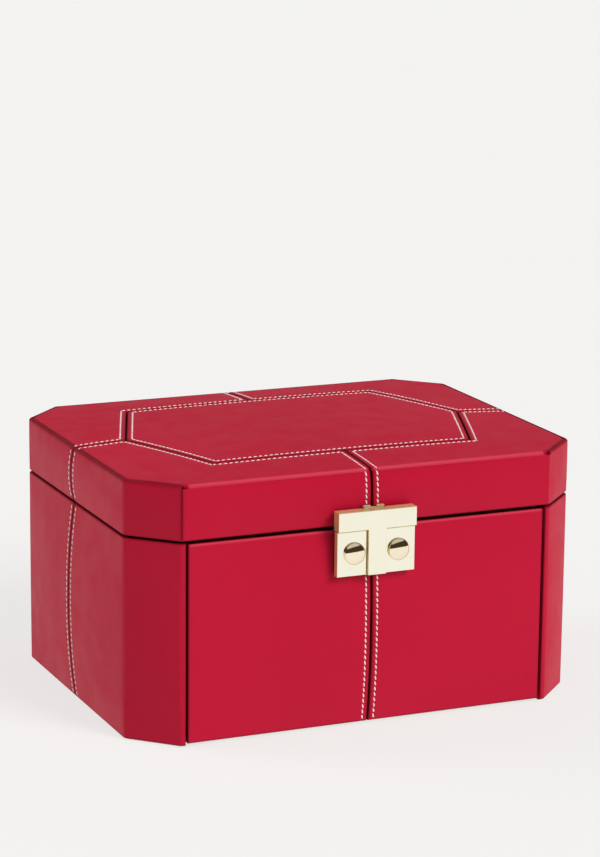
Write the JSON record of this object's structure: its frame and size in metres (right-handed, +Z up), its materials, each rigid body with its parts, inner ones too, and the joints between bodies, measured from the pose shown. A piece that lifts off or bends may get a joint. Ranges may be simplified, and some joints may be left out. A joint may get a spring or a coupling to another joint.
{
  "type": "jewellery box",
  "caption": "Leather-covered octagonal jewellery case with hinged lid, drop-down front, T-shaped hasp, ring tray and drawers.",
  "frame": {"origin": "centre of the base's underside, on the surface the case stands on", "axes": "+X along the long side to the right, -Y out of the front with the clasp, +Z up"},
  "size_m": [0.2612, 0.2125, 0.141],
  "materials": {
    "leather": "padded calf leather, semi-gloss",
    "board": "raw case board",
    "suede": "suede lining",
    "felt": "felt",
    "gold": "polished pale gold plating",
    "brass": "polished brass",
    "mirror_glass": "mirror"
  },
  "bodies": {
    "case": {"base_board": "board", "base_felt": "felt", "drawer_shelf": "suede", "flap_hinge_body_leaf": "brass", "flap_hinge_pin": "brass", "front_left_post": "board", "front_left_skin": "leather", "front_right_post": "board", "front_right_skin": "leather", "hinge_left_body_leaf": "brass", "hinge_left_pin": "brass", "hinge_right_body_leaf": "brass", "hinge_right_pin": "brass", "left_board": "board", "left_partition": "suede", "lower_drawer": "suede", "lower_drawer_knob": "gold", "rear_board": "board", "rear_left_post": "board", "rear_left_skin": "leather", "rear_right_post": "board", "rear_right_skin": "leather", "right_board": "board", "right_partition": "suede", "ring_cushion": "suede", "top_tray": "suede", "tray_deck": "suede", "upper_drawer": "suede", "upper_drawer_knob": "gold"},
    "lid": {"lid_board": "board", "lid_front_left_pad": "leather", "lid_front_left_skin": "leather", "lid_front_right_pad": "leather", "lid_front_right_skin": "leather", "lid_hexagon_pad": "leather", "lid_lining": "suede", "lid_rear_left_pad": "leather", "lid_rear_left_skin": "leather", "lid_rear_right_pad": "leather", "lid_rear_right_skin": "leather", "mirror": "mirror_glass", "mirror_frame": "gold", "keeper": "gold", "hinge_left_lid_leaf": "brass", "hinge_right_lid_leaf": "brass"},
    "front": {"flap_board": "board", "flap_left_skin": "leather", "flap_right_skin": "leather", "flap_lining": "suede", "flap_hinge_front_leaf": "brass", "lock_plate": "gold", "lock_block_left": "gold", "lock_block_right": "gold", "hasp_pin": "brass"},
    "hasp_body": {"hasp": "gold"},
    "left_stud": {"stud_left": "gold"},
    "right_stud": {"stud_right": "gold"}
  },
  "joints": [
    {"name": "lid_hinge", "type": "hinge", "parent": "case", "child": "lid", "pos_m": [0, 0.10095, 0.1079], "axis": [-1, 0, 0], "range_deg": [0, 100]},
    {"name": "front_hinge", "type": "hinge", "parent": "case", "child": "front", "pos_m": [0, -0.09505, 0.0036], "axis": [1, 0, 0], "range_deg": [0, 80]},
    {"name": "hasp_hinge", "type": "hinge", "parent": "front", "child": "hasp_body", "pos_m": [0, -0.10485, 0.086], "axis": [-1, 0, 0], "range_deg": [-75, 0]},
    {"name": "left_stud_slide", "type": "slide", "parent": "front", "child": "left_stud", "axis": [-1, 0, 0], "range_m": [0, 0.002], "stiffness_N_per_m": 150, "springref_m": -0.001},
    {"name": "right_stud_slide", "type": "slide", "parent": "front", "child": "right_stud", "axis": [1, 0, 0], "range_m": [0, 0.002], "stiffness_N_per_m": 150, "springref_m": -0.001}
  ]
}
